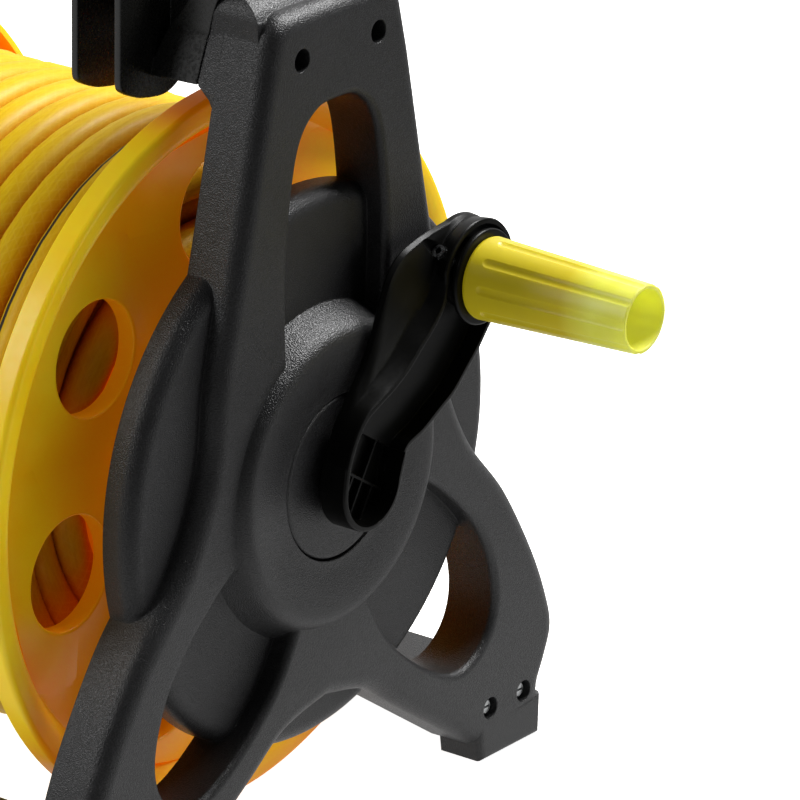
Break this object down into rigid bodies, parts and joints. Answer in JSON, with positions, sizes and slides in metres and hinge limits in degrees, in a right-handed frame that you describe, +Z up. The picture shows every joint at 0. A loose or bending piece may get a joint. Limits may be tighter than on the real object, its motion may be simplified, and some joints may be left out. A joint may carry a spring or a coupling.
{
  "type": "freestanding hose reel",
  "caption": "Freestanding garden hose reel: a drum of wound hose between two A-shaped side frames, with a swan-necked crank, a turning grip and a carry handle.",
  "frame": {"origin": "on the floor under the middle of the reel's own box, without the hose", "axes": "+X along the drum's axis towards the crank, +Y to the rear, +Z up"},
  "size_m": [0.4672, 0.32, 0.465],
  "materials": {
    "frame_black": "fine spark-eroded grain",
    "gloss_black": "glossy",
    "drum_yellow": "satin",
    "hose_yellow": "smooth soft vinyl with one dark stripe",
    "fitting_yellow": "satin",
    "grip_lime": "satin",
    "zinc_steel": "zinc plated",
    "seal_rubber": "matt"
  },
  "bodies": {
    "frame": {"side_frame_crank": "frame_black", "side_frame_inlet": "frame_black", "tie_bar_front": "frame_black", "tie_bar_rear": "frame_black", "carry_handle": "frame_black", "frame_screw_1": "zinc_steel", "frame_screw_2": "zinc_steel", "frame_screw_3": "zinc_steel", "frame_screw_4": "zinc_steel", "frame_screw_5": "zinc_steel", "frame_screw_6": "zinc_steel", "frame_screw_7": "zinc_steel", "frame_screw_8": "zinc_steel", "frame_screw_9": "zinc_steel", "frame_screw_10": "zinc_steel", "frame_screw_11": "zinc_steel", "frame_screw_12": "zinc_steel"},
    "drum": {"drum_flange_crank": "drum_yellow", "drum_flange_inlet": "drum_yellow", "inlet_journal": "drum_yellow", "drum_barrel": "drum_yellow", "drum_elbow": "gloss_black", "hose_clamp": "zinc_steel", "hose_coil": "hose_yellow", "hose_tail": "hose_yellow", "hose_end_connector": "fitting_yellow", "crank_hub": "frame_black", "crank_arm": "gloss_black", "drive_screw": "zinc_steel", "drive_washer": "zinc_steel", "grip_spindle": "gloss_black", "grip_pin": "zinc_steel", "grip_washer": "zinc_steel", "grip_screw": "zinc_steel", "inlet_nut": "gloss_black"},
    "grip": {"grip_sleeve": "grip_lime"},
    "inlet": {"inlet_elbow": "fitting_yellow", "inlet_o_ring": "seal_rubber"}
  },
  "joints": [
    {"name": "drum_spin", "type": "hinge", "parent": "frame", "child": "drum", "pos_m": [-0.03605, 0, 0.165], "axis": [1, 0, 0], "continuous": true},
    {"name": "grip_spin", "type": "hinge", "parent": "drum", "child": "grip", "pos_m": [0.15335, 0.07, 0.2365], "axis": [1, 0, 0], "continuous": true},
    {"name": "inlet_swivel", "type": "hinge", "parent": "frame", "child": "inlet", "pos_m": [-0.20205, 0, 0.165], "axis": [1, 0, 0], "continuous": true}
  ]
}
